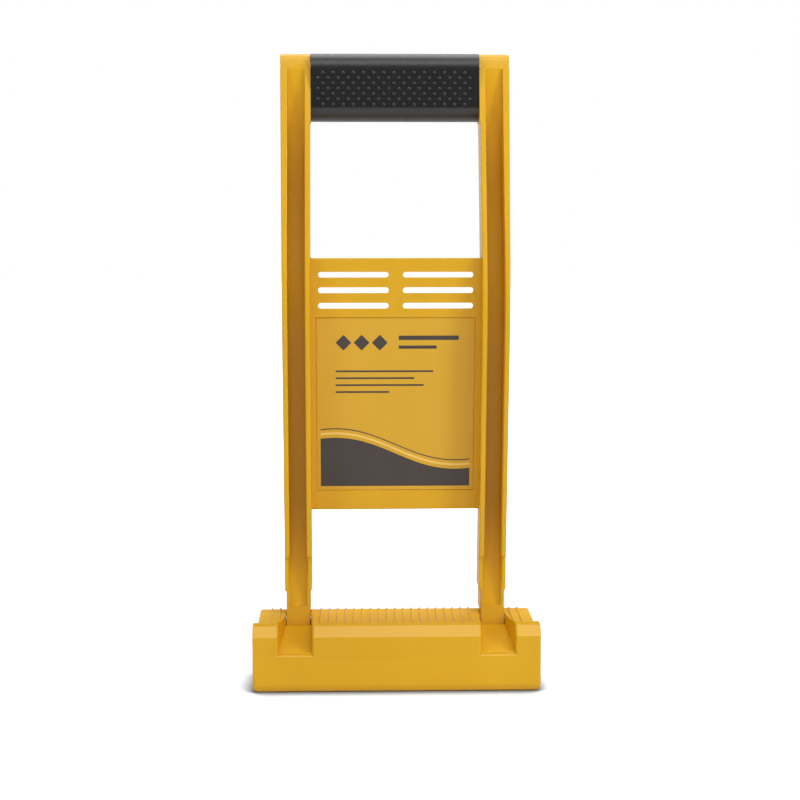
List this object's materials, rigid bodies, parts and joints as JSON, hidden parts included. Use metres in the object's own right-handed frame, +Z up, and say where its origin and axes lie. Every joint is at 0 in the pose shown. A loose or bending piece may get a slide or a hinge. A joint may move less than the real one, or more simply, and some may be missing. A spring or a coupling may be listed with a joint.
{
  "type": "panel carrier",
  "caption": "Hand-held panel carrier: a bowed yellow frame with a soft grip, on a ribbed foot that folds up against it.",
  "frame": {"origin": "middle of the foot's underside", "axes": "+Z up along the legs, +Y away from the carried panel, +X to the right seen from the panel side"},
  "size_m": [0.1704, 0.0661, 0.3757],
  "materials": {
    "moulded_yellow": "satin",
    "soft_black": "matte",
    "label_film": "satin",
    "steel": "satin"
  },
  "bodies": {
    "frame": {"frame": "moulded_yellow", "grip_sleeve": "soft_black", "label": "label_film"},
    "foot": {"foot_shell": "moulded_yellow", "foot_cover": "moulded_yellow", "cover_screws": "steel", "hinge_pin_left": "steel", "hinge_pin_right": "steel"}
  },
  "joints": [
    {"name": "foot_fold", "type": "hinge", "parent": "frame", "child": "foot", "pos_m": [0, 0.01124, 0.0365], "axis": [-1, 0, 0], "range_deg": [0, 90]}
  ]
}
